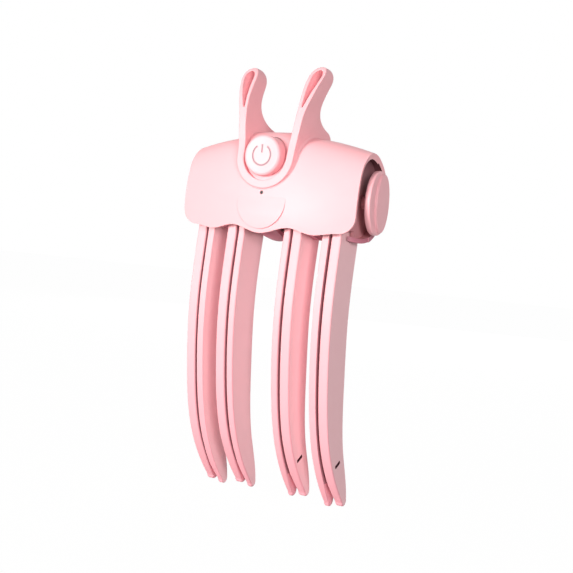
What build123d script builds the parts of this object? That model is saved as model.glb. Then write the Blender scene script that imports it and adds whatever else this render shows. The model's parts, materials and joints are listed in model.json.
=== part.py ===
from build123d import *
import os

# Heated root volumizing clip. Millimetres, +Z up, -Y towards the viewer.
# The clip is drawn with x = 0 on its plane of symmetry, y = 0 near the front edges of the blades
# and z = 0 at the lower edge of the front shell. Each piece is then moved so that the origin lies
# on the middle of the barrel's flat back.

# Barrel
half_length = 29.5          # middle to the end lip
front_y = -3.4              # front of the barrel in the middle
front_bow = 3.7             # how far the front falls back at the ends
belly_z = 8.5               # height where the front stands furthest forward
chin_back = 0.5             # how far the front falls back at the underside
back_y = 20.6               # flat back
back_swell = 0.1            # the rounded form reaches past the flat that is cut on it
crown_z = 29.9              # top of the barrel in the middle
crown_drop = 4.4            # how far the top falls at the ends
floor_z = -1.1              # underside
top_y = 9.5                 # where the top is highest
flat_low_z = 6.0            # lower edge of the flat back in the middle
flat_high_z = 18.0          # upper edge of the flat back in the middle
flat_drop = 3.0             # how far the upper edge comes down at the ends
flat_rise = 5.5             # how far the lower edge goes up at the ends
floor_back_y = 9.5          # where the flat underside ends
floor_shorter = 2.0         # how much earlier it ends at the ends
shoulder = [(0.6, 6.7), (2.0, 11.6), (4.2, 14.6)]  # front profile above the belly, at the ends
wall = 1.3                  # wall of both shells
seam_y = 14.0               # seam between front and rear shell, along the top
seam_gap = 0.05             # between the shells
lip_depth = 0.5             # the rear shell ends this far inside the front shell's lips
rear_half = half_length - lip_depth
floor_corner = [(4.7, 5.0), (3.3, 6.0), (2.1, 7.6), (1.1, 9.4), (0.5, 11.0)]  # in from the end, and y
rest_z = 15.0               # height of the origin on the flat back

# Lower edge of the front shell
lobe_z = -0.55              # lobe in the middle
rise_x = 9.6                # where the edge rises over the inner pairs
rise_z = 1.5
side_lobe_x = 16.8
side_lobe_z = 0.0
corner_z = 0.9              # height of the edge where the end corner starts
corner_radius = 5.0         # lower corners of the end lips
underside_front_y = 0.35    # front of the rear shell's underside
low_split_y = 3.0           # behind this the rear shell takes the whole lower wall
low_split_z = 6.0

# Thumb pad and light
pad_radius = 8.2
pad_z = 8.9
pad_low_y = -3.8            # face of the pad at its lower edge
pad_high_y = -3.3           # and where it runs out into the belly
light_z = 11.4
pinhole_radius = 0.45
guide_radius = 0.8
guide_back_y = -1.3
guide_seat = 0.6            # wall left in front of the light guide

# Blades
outer_x = 21.25             # middle of the gap of the outer pairs
inner_x = 9.3               # middle of the gap of the inner pairs
outer_setback = 1.9         # the outer pairs stand this much further back
pair_gap = 0.8
hot_thick = 3.1             # heated blade
grip_thick = 2.2            # gripping blade
blade_depth = 12.0          # front to back, at the root
blade_length = 81.4
inner_shorter = 1.2         # the inner pairs are this much shorter
grip_extra = 0.8            # the gripping blades are this much longer
front_inset = 0.1           # front edge of the inner pairs, behind y = 0
edge_round = 0.5
edge_near = 0.1             # an edge this near to a broad face belongs to it
rounded_below_z = -10.0     # the blades' edges are rounded below the barrel
taper_length = 15.0         # the clamp faces taper over this length at the tips
taper_depth = 0.9
slot_y = 12.2               # middle of the slanted slot on the heated blade
slot_share = 0.83           # where the slot is, as a share of the blade's length
slot_length = 3.2
slot_width = 0.6
slot_deep = 0.7
slot_lean = 28.0            # degrees

# Heater in the heated blade
plate_thick = 0.9
film_thick = 0.3
plate_inset = 2.4           # from the blade's front and back edges
plate_top_z = -6.0
plate_share = 0.737         # where the plate ends, as a share of the blade's length

# Chassis
deck_z = 4.8                # underside of the chassis plate
deck_thick = 2.0
deck_front_y = 1.0
deck_back_y = 17.4
deck_gap = 0.1              # from the chassis plate to the end plates
slot_room = 0.2             # clearance round a gripping blade in the chassis
root_fit = 0.05             # clearance round a heated blade in the chassis
head_thick = 1.2            # rear ear on a heated blade's root
head_reach = 4.0
lug_half = 2.0              # middle lug that holds the guide rods
lug_front_y = 0.6
lug_back_y = 13.4
lug_top_z = 14.0
post_x = 14.5               # posts under the power board
post_y = 16.4
post_radius = 1.4

# Sliding carriages and end knobs
travel = 3.0
slide_z = 11.1
front_rod_y = 3.5
knob_y = 11.0               # rear rod and knobs
rod_radius = 1.0
rod_reach = 0.4             # the rear rod runs this far past the end plates
running = 0.05              # radial running clearance
bar_front_y = 1.3
bar_back_y = 14.2
bar_low_z = 8.6
bar_high_z = 13.6
bar_in_x = 6.2
stop_gap = 0.05             # from the carriage to the end plate at rest
tab_front_y = 5.7           # root tab of a gripping blade
tab_back_y = 7.7
spring_radius = 1.7
spring_bore = 1.15
spring_seat_x = 12.0
seat_room = 0.15            # from a spring to the wall of its seat
stem_radius = 1.9
stem_in_x = 21.0
knob_back_x = 29.9
knob_thick = 1.9
knob_half_depth = 6.9       # the knob is an upright oval
knob_half_height = 9.45
face_back = 1.1             # the raised face sits this far behind the middle of the knob
face_half_depth = 4.5
face_half_height = 8.7
face_raise = 0.7
bore_end_x = 30.5
knob_round = 0.5

# End plates
plate_room = 0.45           # from the outer heated blades to the end plates
plate_in_x = outer_x + pair_gap / 2 + hot_thick + plate_room
end_thick = 1.4
deck_half = plate_in_x - deck_gap

# Ear band
button_z = 22.2             # middle of the button and of the band's curve
band_in = 7.2
band_out = 9.6
band_y = -3.9               # front of the band
hump_half = 8.6             # the raised saddle that carries the button
hump_line = [(-2.3, 13.0), (-2.1, 19.0), (-1.5, 24.5), (0.6, 28.2), (4.0, 30.0), (9.5, 30.6), (14.0, 29.2)]

# Power button
button_radius = 6.05
button_fit = 0.1
tube_wall = 0.9
button_y = -5.3
button_wall = 1.2
button_face = 1.6           # the cap's front wall
button_travel = 0.6
tube_back_y = 3.9
flange_gap = 0.1
flange_room = 0.2
flange_thick = 0.6
flange_reach = 0.75
button_round = 0.9
symbol_radius = 3.0
symbol_width = 0.4
symbol_gap = 3.4            # width of the opening at the top of the ring
symbol_bar = 2.4
symbol_deep = 0.25
press_radius = 1.5
touch_gap = 0.05

# Circuit board and switch
board_y = 5.9
board_thick = 1.0
board_half = 17.0
board_low_z = 14.4
board_high_z = 25.4
switch_size = 6.0
switch_front_y = 2.4
plunger_radius = 1.6
plunger_front_y = 1.4
plunger_depth = 1.2
chip_thick = 1.1
chip_low_z = 17.0
chips = [(-12.0, 5.0), (-5.0, 4.0), (4.5, 6.0), (12.5, 4.0)]  # middle and width
flex_half = 1.5             # flex strip between the board and the light
flex_thick = 0.2
flex_joint = 2.0            # length soldered to the board
light_half = 0.8            # status light
light_high = 0.4

# Power board with its charging socket
power_z = 9.2
power_thick = 0.8
power_half = 20.0
power_front_y = 14.6
power_back_y = 19.0
socket_half = 4.45
socket_height = 3.2
socket_front_y = 15.0
socket_shell = 0.35
socket_flat = 0.1           # the socket's ends fall this short of full rounds
socket_wall = 1.2           # inner end of the socket
tongue_half = 3.3           # tongue in the socket
tongue_high = 0.35
tongue_drop = 1.2           # how far the tongue stays behind the mouth
port_room = 0.2
contact_reach = 15.4 - front_inset
contact_size = 1.2
blade_screw_reach = 13.4 - front_inset

# Cell
cell_radius = 4.6
cell_half = 18.0
cell_y = 13.1
cell_z = 19.8
terminal_long = 0.8
pad_half_z = 2.0            # foam pad before the cell

# Screws
screw_radius = 0.8
screw_head = 1.5
screw_head_thick = 0.8
seat_radius = 1.6           # seat of a shell screw's head
seat_wall = 0.7
thin_screw = 0.55
thin_head = 1.2
thin_head_thick = 0.5
deck_screws = [(5.5, 15.4), (18.5, 15.8)]
screw_low_z = 1.9
boss_radius = 1.8
shell_screw_x = 22.0
shell_screw_z = 20.6
shell_post_radius = 1.7
shell_post_end_y = 16.4
screw_grip = 2.0            # how deep a shell screw runs into its post

deck_top_z = deck_z + deck_thick
head_top_z = deck_top_z + head_thick
lip_margin = 1.0            # cutters run this far past what they cut
far = 60.0


# Helpers
def box(x0, x1, y0, y1, z0, z1):
    middle = ((x0 + x1) / 2, (y0 + y1) / 2, (z0 + z1) / 2)
    return Pos(*middle) * Box(abs(x1 - x0), abs(y1 - y0), abs(z1 - z0))


def rod_x(radius, x0, x1, y, z):
    return Pos((x0 + x1) / 2, y, z) * Rot(0, 90, 0) * Cylinder(radius, abs(x1 - x0))


def rod_y(radius, y0, y1, x, z):
    return Pos(x, (y0 + y1) / 2, z) * Rot(90, 0, 0) * Cylinder(radius, abs(y1 - y0))


def rod_z(radius, z0, z1, x, y):
    return Pos(x, y, (z0 + z1) / 2) * Cylinder(radius, abs(z1 - z0))


def front_view(outline, y0, y1):
    """An outline drawn in X and Z, as thick as from y0 to y1."""
    return extrude(Pos(0, y1, 0) * (Plane.XZ * outline), amount=y1 - y0)


def side_view(outline, x0, x1):
    """An outline drawn in Y and Z, as thick as from x0 to x1."""
    return extrude(Pos(x0, 0, 0) * (Plane.YZ * outline), amount=x1 - x0)


def twin(shape):
    return mirror(shape, about=Plane.YZ)


def both(shape):
    return shape + twin(shape)


# Barrel
def section(x, inset):
    """The barrel cut across at x, drawn in Y and Z."""
    ends = (x / half_length) ** 2
    front = front_y + front_bow * ends + inset
    top = crown_z - crown_drop * ends - inset
    low = floor_z + inset
    back = back_y + back_swell - inset
    high = flat_high_z - flat_drop * ends
    under = flat_low_z + flat_rise * ends
    heel_y = floor_back_y - floor_shorter * ends
    rise = (top - belly_z) / (crown_z - crown_drop - belly_z)
    chin = (front + chin_back, low)
    above = [(front + dy, belly_z + dz * rise) for dy, dz in shoulder]
    edges = [
        Spline([chin, (front, belly_z)] + above + [(top_y, top)], tangents=[(-0.12, 1), (1, 0)]),
        Spline((top_y, top), (back, high), tangents=[(1, 0), (0, -1)]),
        Line((back, high), (back, under)),
        Spline((back, under), (heel_y, low), tangents=[(0, -1), (-1, 0)]),
        Line((heel_y, low), chin),
    ]
    return Pos(x, 0, 0) * (Plane.YZ * make_face(edges))


def barrel(inset, overhang=0.0):
    reach = half_length + overhang
    return loft([section(share * reach, inset) for share in (-1, -0.5, 0, 0.5, 1)])


outer_form = barrel(0) - box(-far, far, back_y, far, -far, far)
inner_form = barrel(wall, lip_margin)


# Front shell
def front_outline():
    top = crown_z + lip_margin
    corner = half_length - corner_radius
    edge = Spline(
        (-corner, corner_z),
        (-side_lobe_x, side_lobe_z),
        (-rise_x, rise_z),
        (0, lobe_z),
        (rise_x, rise_z),
        (side_lobe_x, side_lobe_z),
        (corner, corner_z),
        tangents=[(1, 0), (1, 0)],
    )
    turn = corner_z + corner_radius
    right = RadiusArc((corner, corner_z), (half_length, turn), -corner_radius)
    left = RadiusArc((-half_length, turn), (-corner, corner_z), -corner_radius)
    rim = Polyline((half_length, turn), (half_length, top), (-half_length, top), (-half_length, turn))
    return make_face([edge, right, rim, left])


def hump(inset):
    """The saddle behind the button, which rises from the front of the barrel over its top."""
    line = [(y + inset, z - inset) for y, z in hump_line]
    low_z = line[0][1]
    face = make_face([Spline(line), Polyline(line[-1], (line[-1][0], low_z), line[0])])
    return side_view(face, -(hump_half - inset), hump_half - inset)


front_zone = front_view(front_outline(), -far, seam_y)
outer_body = outer_form + hump(0)
shell = outer_body - inner_form - hump(wall)
tube_in = button_radius + button_fit
tube_out = tube_in + tube_wall
floor_top_z = floor_z + wall
front_shell = shell & front_zone
front_shell += rod_y(tube_out, -far, tube_back_y, 0, button_z) & outer_body
pad_low_z = pad_z - pad_radius
pad_corners = [(pad_low_y, pad_low_z), (pad_high_y, pad_z), (0, pad_z), (0, pad_low_z)]
pad_side = side_view(make_face(Polyline(pad_corners, close=True)), -pad_radius, pad_radius)
pad = rod_y(pad_radius, 2 * front_y, front_y + wall, 0, pad_z) & pad_side
front_shell += pad
front_shell -= rod_y(tube_in, -far, far, 0, button_z)
front_shell -= rod_y(button_radius + flange_reach + flange_room, tube_back_y, board_y, 0, button_z)
front_shell -= rod_y(pinhole_radius, -far, guide_back_y, 0, light_z)
front_shell -= rod_y(guide_radius, front_y + guide_seat, guide_back_y, 0, light_z)
front_shell -= box(-far, far, underside_front_y - seam_gap, seam_y, -far, floor_top_z + seam_gap)
front_shell -= box(-far, far, low_split_y - seam_gap, seam_y, -far, low_split_z + seam_gap)
shell_post = rod_y(shell_post_radius, front_y, shell_post_end_y, shell_screw_x, shell_screw_z) & outer_form
shell_post -= rod_y(screw_radius, seam_y - screw_grip, shell_post_end_y, shell_screw_x, shell_screw_z)
front_shell += both(shell_post)

# Ear band: a U round the button whose arms run up into two folded ears
ear_outer = [(10.4, 30.0), (11.15, 35.0), (12.6, 40.2), (13.6, 44.2), (14.1, 47.2), (13.5, 49.2)]
ear_outer += [(11.9, 50.0)]
ear_inner = [(10.1, 49.4), (8.9, 47.0), (8.7, 43.0), (8.7, 38.5), (8.1, 31.0)]
hollow_foot = [(9.7, 36.9), (10.15, 36.9)]
hollow_side = [(11.2, 40.0), (12.3, 43.2), (13.05, 46.0), (13.0, 47.9), (11.9, 48.8), (10.6, 48.2)]
hollow_side += [(9.95, 45.5), (9.85, 41.0)]
ear_front = [(band_y, 12.0), (-3.8, 17.0), (-3.5, 21.0), (-2.85, 26.0), (-2.5, 31.0), (-1.95, 35.5)]
ear_front += [(-1.2, 38.6), (-0.3, 41.2), (0.9, 43.7), (2.3, 46.1), (4.0, 48.5)]
ear_top = [(6.1, 50.2), (8.0, 49.2)]
ear_back = [(8.9, 46.8), (8.1, 43.8), (7.0, 40.6), (6.9, 38.0), (8.1, 35.6), (11.0, 33.4)]
ear_back += [(14.2, 32.2), (16.6, 31.4), (18.2, 29.8), (19.0, 27.0)]


def arm_outline():
    """The right arm of the band and its ear, seen from the front."""
    start = (band_out, button_z)
    inner_end = (band_in, button_z)
    points = [start] + ear_outer + ear_inner + [inner_end]
    return make_face([Spline(points, tangents=[(0, 1), (0, -1)]), Line(inner_end, start)])


def hollow_outline():
    return make_face([Line(*hollow_foot), Spline([hollow_foot[1]] + hollow_side + [hollow_foot[0]])])


def ear_side_outline():
    front = Spline(ear_front + ear_top + ear_back)
    foot = Polyline(ear_back[-1], (ear_back[-1][0], 10.0), (band_y, 10.0), ear_front[0])
    return make_face([front, foot])


def band():
    curve = Circle(band_out) - Circle(band_in) - Pos(0, band_out) * Rectangle(3 * band_out, 2 * band_out)
    loop = front_view(Pos(0, button_z) * curve, band_y, top_y)
    arm = front_view(arm_outline(), band_y, far) - front_view(hollow_outline(), -far, far)
    side = side_view(ear_side_outline(), -far, far)
    return ((both(arm) + loop) & side) - outer_body


ear_band = band()

# Blades
# y, and how far down as a share of the blade's length
front_curve = [(0.0, 0.0), (-1.6, 0.258), (0.1, 0.528), (5.9, 0.786), (17.7, 0.984)]
back_curve = [(20.9, 0.9755), (15.5, 0.786), (11.7, 0.528), (10.2, 0.258), (blade_depth, 0.0)]
tip_y = 19.9
slot_z = -slot_share * blade_length
plate_low_z = -plate_share * blade_length


def blade_outline(root_z, length, extra=0.0):
    """A blade seen from the side, with its front edge at y = 0 at the root."""
    front = [(y, -share * length) for y, share in front_curve]
    back = [(y, -share * length) for y, share in back_curve]
    front[-1] = (front[-1][0], front[-1][1] - extra)
    back[0] = (back[0][0], back[0][1] - extra)
    edges = [
        Line((0, root_z), front[0]),
        Spline(front, tangents=[(-0.1, -1), (1, -1)]),
        ThreePointArc(front[-1], (tip_y, -length - extra), back[0]),
        Spline(back, tangents=[(-0.15, 1), (0.12, 1)]),
        Line(back[-1], (blade_depth, root_z)),
        Line((blade_depth, root_z), (0, root_z)),
    ]
    return make_face(edges)


def blade_edges(blade, x0, x1):
    """The long edges of a blade on its two broad faces, below the barrel."""
    found = [e for e in blade.edges() if e.bounding_box().min.Z < rounded_below_z]
    return [e for e in found if min(abs(e.center().X - x0), abs(e.center().X - x1)) < edge_near]


def tip_taper(face_x, way, length, extra=0.0):
    """A wedge that thins the tip on the clamp face; way is the side that the blade lies on."""
    end_z = -length - extra - lip_margin
    corner = (face_x + way * taper_depth, end_z)
    start = (face_x, end_z + taper_length)
    outside = face_x - way * lip_margin
    wedge = Polyline(start, corner, (outside, end_z), (outside, start[1]), start)
    return front_view(make_face(wedge), -far, far)


def heater_zone(gap_x, setback, length, thick):
    """The space of a heater layer, from the clamp face outwards."""
    outline = blade_outline(deck_top_z, length)
    narrow = Pos(plate_inset, 0) * outline & Pos(-plate_inset, 0) * outline
    window = Pos(0, (plate_top_z + plate_low_z) / 2) * Rectangle(far * 2, plate_top_z - plate_low_z)
    face_x = gap_x + pair_gap / 2
    return Pos(0, front_inset + setback, 0) * side_view(narrow & window, face_x, face_x + thick)


def heated_blade(gap_x, setback, length):
    x0 = gap_x + pair_gap / 2
    x1 = x0 + hot_thick
    blade = side_view(blade_outline(deck_top_z, length), x0, x1)
    blade = fillet(blade_edges(blade, x0, x1), edge_round)
    head_back = blade_depth + head_reach
    blade += box(x0, x1, 0, head_back, deck_top_z, head_top_z)
    blade -= rod_z(thin_screw, deck_z, head_top_z, (x0 + x1) / 2, blade_screw_reach)
    blade = Pos(0, front_inset + setback, 0) * blade
    blade -= tip_taper(x0, 1, length)
    slot = Pos(x1, slot_y + setback, slot_z) * Rot(slot_lean, 0, 0)
    blade -= slot * Box(2 * slot_deep, slot_length, slot_width)
    return blade - heater_zone(gap_x, setback, length, plate_thick + film_thick)


def gripping_blade(gap_x, setback, length):
    x1 = gap_x - pair_gap / 2
    x0 = x1 - grip_thick
    blade = side_view(blade_outline(deck_top_z, length, grip_extra), x0, x1)
    blade = fillet(blade_edges(blade, x0, x1), edge_round)
    blade = Pos(0, front_inset + setback, 0) * blade
    blade += box(x0, x1, tab_front_y, tab_back_y, deck_top_z, bar_high_z)
    return blade - tip_taper(x1, -1, length, grip_extra)


pairs = {
    "inner": (inner_x, 0.0, blade_length - inner_shorter),
    "outer": (outer_x, outer_setback, blade_length),
}
heated = {name: heated_blade(*place) for name, place in pairs.items()}
gripping = {name: gripping_blade(*place) for name, place in pairs.items()}
films = {name: heater_zone(*place, plate_thick + film_thick) for name, place in pairs.items()}
plates = {name: heater_zone(*place, plate_thick) for name, place in pairs.items()}
films = {name: films[name] - plates[name] for name in pairs}


# Rear shell
def window(gap_x, setback):
    """The opening in the underside for one pair, with the gripping blade's travel."""
    x0 = gap_x - pair_gap / 2 - grip_thick - travel - 2 * slot_room
    x1 = gap_x + pair_gap / 2 + hot_thick + 2 * slot_room
    y0 = front_inset + setback - 2 * slot_room
    return box(x0, x1, y0, y0 + blade_depth + 4 * slot_room, floor_z - lip_margin, deck_z)


rear_zone = box(-rear_half, rear_half, seam_y + seam_gap, far, -far, far)
corner_line = [(half_length - step, y) for step, y in floor_corner]
floor_line = [(0, underside_front_y), (corner_line[0][0], underside_front_y)] + corner_line
floor_line += [(rear_half, seam_y + 2 * seam_gap), (0, seam_y + 2 * seam_gap), (0, underside_front_y)]
floor_slab = extrude(make_face(Polyline(floor_line)), amount=low_split_z - 2 * floor_z)
floor_slab = Pos(0, 0, 2 * floor_z) * floor_slab - box(-far, far, -far, low_split_y, floor_top_z, far)
rear_zone += both(floor_slab)
rear_shell = (outer_form & rear_zone) - inner_form
for x, y in deck_screws:
    boss = rod_z(boss_radius, floor_z, deck_z, x, y) & outer_form
    rear_shell += both(boss)
seat_boss = rod_y(seat_radius + seat_wall, shell_post_end_y, back_y, shell_screw_x, shell_screw_z)
rear_shell += both(seat_boss & outer_form)
for x, y in deck_screws:
    rear_shell -= both(rod_z(screw_radius, screw_low_z, deck_z + lip_margin, x, y))
screw_seat_y = shell_post_end_y + wall
rear_shell -= both(rod_y(screw_radius, seam_y, far, shell_screw_x, shell_screw_z))
rear_shell -= both(rod_y(seat_radius, screw_seat_y, far, shell_screw_x, shell_screw_z))
for gap_x, setback, _ in pairs.values():
    rear_shell -= both(window(gap_x, setback))
socket_z = power_z + power_thick + socket_height / 2
port = RectangleRounded(2 * (socket_half + port_room), socket_height + 2 * port_room, socket_height / 2)
rear_shell -= front_view(Pos(0, socket_z) * port, back_y - 2 * wall, back_y + lip_margin)

# End plates
end_slab = box(plate_in_x, plate_in_x + end_thick, -far, far, -far, far)
end_plate = inner_form & end_slab
end_plate -= rod_x(rod_radius, 0, far, front_rod_y, slide_z)
end_plate -= rod_x(stem_radius + running, 0, far, knob_y, slide_z)

# Chassis
chassis = box(-deck_half, deck_half, deck_front_y, deck_back_y, deck_z, deck_top_z)
chassis += box(-lug_half, lug_half, lug_front_y, lug_back_y, deck_z, lug_top_z)
for gap_x, setback, _ in pairs.values():
    y0 = front_inset + setback
    hot0 = gap_x + pair_gap / 2
    hot1 = hot0 + hot_thick
    slot_back = y0 + blade_depth + root_fit
    chassis -= both(box(hot0 - root_fit, hot1 + root_fit, y0 - lip_margin, slot_back, deck_z, deck_top_z))
    grip0 = gap_x - pair_gap / 2 - grip_thick
    way_in = grip0 - travel - slot_room
    way_out = grip0 + grip_thick + slot_room
    way_back = y0 + blade_depth + slot_room
    chassis -= both(box(way_in, way_out, -far, way_back, deck_z, deck_top_z))
    chassis -= both(rod_z(thin_screw, deck_z, deck_top_z, hot0 + hot_thick / 2, y0 + blade_screw_reach))
for x, y in deck_screws:
    chassis -= both(rod_z(screw_radius, deck_z, deck_top_z, x, y))
chassis += both(rod_z(post_radius, deck_top_z, power_z, post_x, post_y))
chassis -= rod_x(rod_radius, -far, far, front_rod_y, slide_z)
chassis -= rod_x(rod_radius, -far, far, knob_y, slide_z)

# Carriages, rods, springs and knobs
bar_out_x = plate_in_x - stop_gap
carriage = box(bar_in_x, bar_out_x, bar_front_y, bar_back_y, bar_low_z, bar_high_z)
carriage -= rod_x(rod_radius + running, 0, far, front_rod_y, slide_z)
carriage -= rod_x(rod_radius + running, 0, stem_in_x, knob_y, slide_z)
carriage -= rod_x(stem_radius, stem_in_x, far, knob_y, slide_z)
for gap_x, _, _ in pairs.values():
    x1 = gap_x - pair_gap / 2
    carriage -= box(x1 - grip_thick, x1, tab_front_y, tab_back_y, bar_low_z, bar_high_z)
springs = []
for y in (front_rod_y, knob_y):
    carriage -= rod_x(spring_radius + seat_room, 0, spring_seat_x, y, slide_z)
    coil = rod_x(spring_radius, lug_half, spring_seat_x, y, slide_z)
    springs.append(coil - rod_x(spring_bore, lug_half, spring_seat_x, y, slide_z))
front_rod_half = plate_in_x + end_thick
rear_rod_half = front_rod_half + rod_reach
front_rod = rod_x(rod_radius, -front_rod_half, front_rod_half, front_rod_y, slide_z)
rear_rod = rod_x(rod_radius, -rear_rod_half, rear_rod_half, knob_y, slide_z)


def oval(half_depth, half_height, x0, x1):
    """An upright oval, as thick as from x0 to x1, centred on the X axis."""
    return side_view(Ellipse(half_depth, half_height), x0, x1)


def end_knob():
    """Drawn about its own axis: stem, base disc and raised face, with a blind bore for the rod."""
    disc_x = knob_back_x + knob_thick
    disc = oval(knob_half_depth, knob_half_height, knob_back_x, disc_x)
    disc = fillet(disc.edges().group_by(Axis.X)[0] + disc.edges().group_by(Axis.X)[-1], knob_round)
    face = oval(face_half_depth, face_half_height, knob_back_x, disc_x + face_raise)
    face = Pos(0, face_back, 0) * fillet(face.edges().group_by(Axis.X)[-1], knob_round)
    whole = disc + face + rod_x(stem_radius, stem_in_x, disc_x, 0, 0)
    return Pos(0, knob_y, slide_z) * (whole - rod_x(rod_radius + running, 0, bore_end_x, 0, 0))


knob = end_knob()


# Power button and switch
def power_button():
    flange_y = tube_back_y + flange_gap
    cap = rod_y(button_radius, button_y, flange_y + flange_thick, 0, 0)
    cap = fillet(cap.edges().group_by(Axis.Y)[0], button_round)
    cap += rod_y(button_radius + flange_reach, flange_y, flange_y + flange_thick, 0, 0)
    cap -= rod_y(button_radius - button_wall, button_y + button_face, far, 0, 0)
    cap += rod_y(press_radius, button_y + button_wall, plunger_front_y - touch_gap, 0, 0)
    ring = Circle(symbol_radius + symbol_width / 2) - Circle(symbol_radius - symbol_width / 2)
    ring -= Pos(0, symbol_radius) * Rectangle(symbol_gap, symbol_gap / 2)
    ring += Pos(0, symbol_radius - symbol_bar / 2) * Rectangle(symbol_width, symbol_bar)
    cap -= extrude(Pos(0, button_y + symbol_deep, 0) * (Plane.XZ * ring), amount=lip_margin)
    return Pos(0, 0, button_z) * cap


button = power_button()
switch_half = switch_size / 2
switch_low_z = button_z - switch_half
switch = box(-switch_half, switch_half, switch_front_y, board_y, switch_low_z, switch_low_z + switch_size)
plunger_end_y = switch_front_y + plunger_depth
switch -= rod_y(plunger_radius + running, switch_front_y, plunger_end_y + button_travel, 0, button_z)
plunger = rod_y(plunger_radius, plunger_front_y, plunger_end_y, 0, button_z)

board_back_y = board_y + board_thick
circuit_board = box(-board_half, board_half, board_y, board_back_y, board_low_z, board_high_z)
for x, width in chips:
    chip_high_z = chip_low_z + width
    chip_back_y = board_back_y + chip_thick
    chip = box(x - width / 2, x + width / 2, board_back_y, chip_back_y, chip_low_z, chip_high_z)
    circuit_board += chip

# Light, its guide and its flex strip
light_guide = rod_y(guide_radius, front_y + guide_seat, guide_back_y, 0, light_z)
light_guide += rod_y(pinhole_radius, front_y + guide_seat / 2, guide_back_y, 0, light_z)
flex_front_y = lug_front_y - flex_thick
flex_low_z = board_low_z - flex_thick
light_flex = box(-flex_half, flex_half, flex_front_y, lug_front_y, light_z - flex_half, board_low_z)
light_flex += box(-flex_half, flex_half, flex_front_y, board_y, flex_low_z, board_low_z)
light_flex += box(-flex_half, flex_half, board_y - flex_thick, board_y, flex_low_z, board_low_z + flex_joint)
light_front_y = guide_back_y + touch_gap
light_low_z = light_z - light_high
status_light = box(-light_half, light_half, light_front_y, flex_front_y, light_low_z, light_z + light_high)

# Power board, charging socket, heater contacts and cell
power_board = box(-power_half, power_half, power_front_y, power_back_y, power_z, power_z + power_thick)
socket_round = socket_height / 2 - socket_flat
outer_port = RectangleRounded(2 * socket_half, socket_height, socket_round)
inner_half = socket_half - socket_shell
inner_height = socket_height - 2 * socket_shell
inner_port = RectangleRounded(2 * inner_half, inner_height, socket_round - socket_shell)
socket = front_view(Pos(0, socket_z) * outer_port, socket_front_y, back_y)
socket -= front_view(Pos(0, socket_z) * inner_port, socket_front_y + socket_wall, back_y)
tongue_front_y = socket_front_y + socket_wall / 2
tongue_back_y = back_y - tongue_drop
tongue_low_z = socket_z - tongue_high
socket += box(-tongue_half, tongue_half, tongue_front_y, tongue_back_y, tongue_low_z, socket_z + tongue_high)
contacts = []
blade_screws = []
for gap_x, setback, _ in pairs.values():
    x = gap_x + pair_gap / 2 + hot_thick / 2
    y = front_inset + setback
    contact_y = y + contact_reach - contact_size / 2
    screw_y = y + blade_screw_reach
    for side in (-1, 1):
        x0 = side * x - contact_size / 2
        contacts.append(box(x0, x0 + contact_size, contact_y, contact_y + contact_size, head_top_z, power_z))
        screw = rod_z(thin_screw, deck_z, head_top_z, side * x, screw_y)
        screw += rod_z(thin_head, head_top_z, head_top_z + thin_head_thick, side * x, screw_y)
        blade_screws.append(screw)
cell = rod_x(cell_radius, -cell_half, cell_half, cell_y, cell_z)
terminal = rod_x(cell_radius / 2, cell_half, cell_half + terminal_long, cell_y, cell_z)
cell += terminal
pad_front_y = board_back_y + chip_thick
cell_pad = box(-cell_half, cell_half, pad_front_y, cell_y, cell_z - pad_half_z, cell_z + pad_half_z) - cell

# Screws
chassis_screws = []
shell_screws = []
for side in (-1, 1):
    for x, y in deck_screws:
        screw = rod_z(screw_radius, screw_low_z, deck_top_z, side * x, y)
        head = rod_z(screw_head, deck_top_z, deck_top_z + screw_head_thick, side * x, y)
        chassis_screws.append(screw + head)
    screw = rod_y(screw_radius, seam_y - screw_grip / 2, screw_seat_y, side * shell_screw_x, shell_screw_z)
    head_end_y = screw_seat_y + screw_head_thick
    screw += rod_y(screw_head, screw_seat_y, head_end_y, side * shell_screw_x, shell_screw_z)
    shell_screws.append(screw)

# Files
nodes = {
    "front_shell": front_shell,
    "rear_shell": rear_shell,
    "ear_band": ear_band,
    "chassis": chassis,
    "front_guide_rod": front_rod,
    "rear_guide_rod": rear_rod,
    "power_button": button,
    "switch_body": switch,
    "switch_plunger": plunger,
    "circuit_board": circuit_board,
    "light_guide": light_guide,
    "light_flex": light_flex,
    "status_light": status_light,
    "power_board": power_board,
    "charging_socket": socket,
    "heater_contacts": Compound(children=contacts),
    "battery_cell": cell,
    "battery_pad": cell_pad,
    "blade_screws": Compound(children=blade_screws),
    "chassis_screws": Compound(children=chassis_screws),
    "shell_screws": Compound(children=shell_screws),
}
sided = {
    "end_plate": end_plate,
    "carriage": carriage,
    "end_knob": knob,
    "return_springs": Compound(children=springs),
}
for name, shape in sided.items():
    nodes["right_" + name] = shape
    nodes["left_" + name] = twin(shape)
numbers = {"outer": (1, 4), "inner": (2, 3)}
for pair, (left, right) in numbers.items():
    layers = {
        "heated_blade": heated[pair],
        "gripping_blade": gripping[pair],
        "heater_film": films[pair],
        "contact_plate": plates[pair],
    }
    for name, shape in layers.items():
        nodes[f"{name}_{right}"] = shape
        nodes[f"{name}_{left}"] = twin(shape)

os.makedirs("parts", exist_ok=True)
for name, shape in nodes.items():
    moved = Pos(0, -back_y, -rest_z) * shape
    export_step(moved, f"parts/{name}.step")
print(len(nodes), "nodes")
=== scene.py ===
import bpy
import bmesh
import cmath
import json
import math
import numpy as np
from mathutils import Matrix, Quaternion, Vector


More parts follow.
